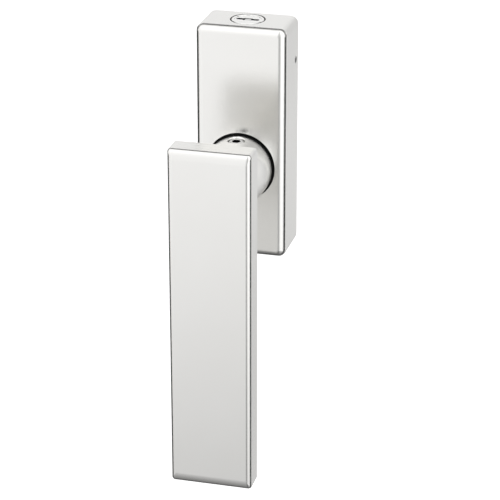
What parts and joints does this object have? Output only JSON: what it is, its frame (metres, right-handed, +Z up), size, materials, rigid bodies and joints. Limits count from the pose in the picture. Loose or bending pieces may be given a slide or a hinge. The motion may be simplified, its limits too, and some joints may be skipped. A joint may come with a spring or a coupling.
{
  "type": "tilt turn window handle",
  "caption": "Lockable tilt and turn window handle: a flat grip bar on a round neck, a rectangular housing with a key lock in its top, and a square spindle.",
  "frame": {"origin": "where the neck's axis, the spindle's axis, meets the window frame's face", "axes": "+Z up along the housing, -Y out of the window frame towards the room, +X to the right as seen from the room"},
  "size_m": [0.034, 0.095, 0.1644],
  "materials": {
    "satin_aluminium": "satin natural anodised",
    "zinc_casting": "die-cast zinc, matt",
    "bright_steel": "zinc-plated steel",
    "dark_steel": "oiled dark steel",
    "spring_steel": "polished spring steel",
    "nickel": "satin nickel plated",
    "brass": "turned brass",
    "black_plastic": "matt black"
  },
  "bodies": {
    "frame_side": {"housing": "satin_aluminium", "housing_grub_screw": "bright_steel", "neck_bush": "black_plastic", "base_plate": "zinc_casting", "frame_screw_upper": "bright_steel", "frame_screw_lower": "bright_steel", "detent_spring_left": "spring_steel", "detent_spring_right": "spring_steel", "bolt_spring_left": "spring_steel", "bolt_spring_right": "spring_steel", "lock_barrel": "nickel", "driver_pin_1": "brass", "driver_pin_2": "brass", "driver_pin_3": "brass", "driver_pin_4": "brass", "pin_spring_1": "spring_steel", "pin_spring_2": "spring_steel", "pin_spring_3": "spring_steel", "pin_spring_4": "spring_steel"},
    "handle": {"grip": "satin_aluminium", "neck": "satin_aluminium", "neck_grub_screw": "bright_steel", "grip_screw": "dark_steel", "grip_dowel_left": "bright_steel", "grip_dowel_right": "bright_steel", "index_cam": "zinc_casting", "spindle": "bright_steel", "spindle_pin": "dark_steel", "thrust_washer": "bright_steel", "retaining_ring": "dark_steel"},
    "lock_plug": {"lock_plug": "nickel", "drive_cam": "zinc_casting", "cam_screw": "bright_steel", "key_pin_1": "brass", "key_pin_2": "brass", "key_pin_3": "brass", "key_pin_4": "brass"},
    "lock_bolt": {"lock_bolt": "bright_steel"}
  },
  "joints": [
    {"name": "handle_turn", "type": "hinge", "parent": "frame_side", "child": "handle", "pos_m": [0, 0, 0], "axis": [0, 1, 0], "range_deg": [-180, 180], "deforming": ["detent_spring_left", "detent_spring_right"]},
    {"name": "lock_turn", "type": "hinge", "parent": "frame_side", "child": "lock_plug", "pos_m": [0, -0.00845, 0], "axis": [0, 0, -1], "range_deg": [0, 90]},
    {"name": "bolt_slide", "type": "slide", "parent": "frame_side", "child": "lock_bolt", "axis": [0, 0, -1], "range_m": [0, 0.003], "deforming": ["bolt_spring_left", "bolt_spring_right"]}
  ],
  "couplings": [
    {"joint": "lock_turn", "follows": "bolt_slide", "rad_per_m": 523.6}
  ]
}
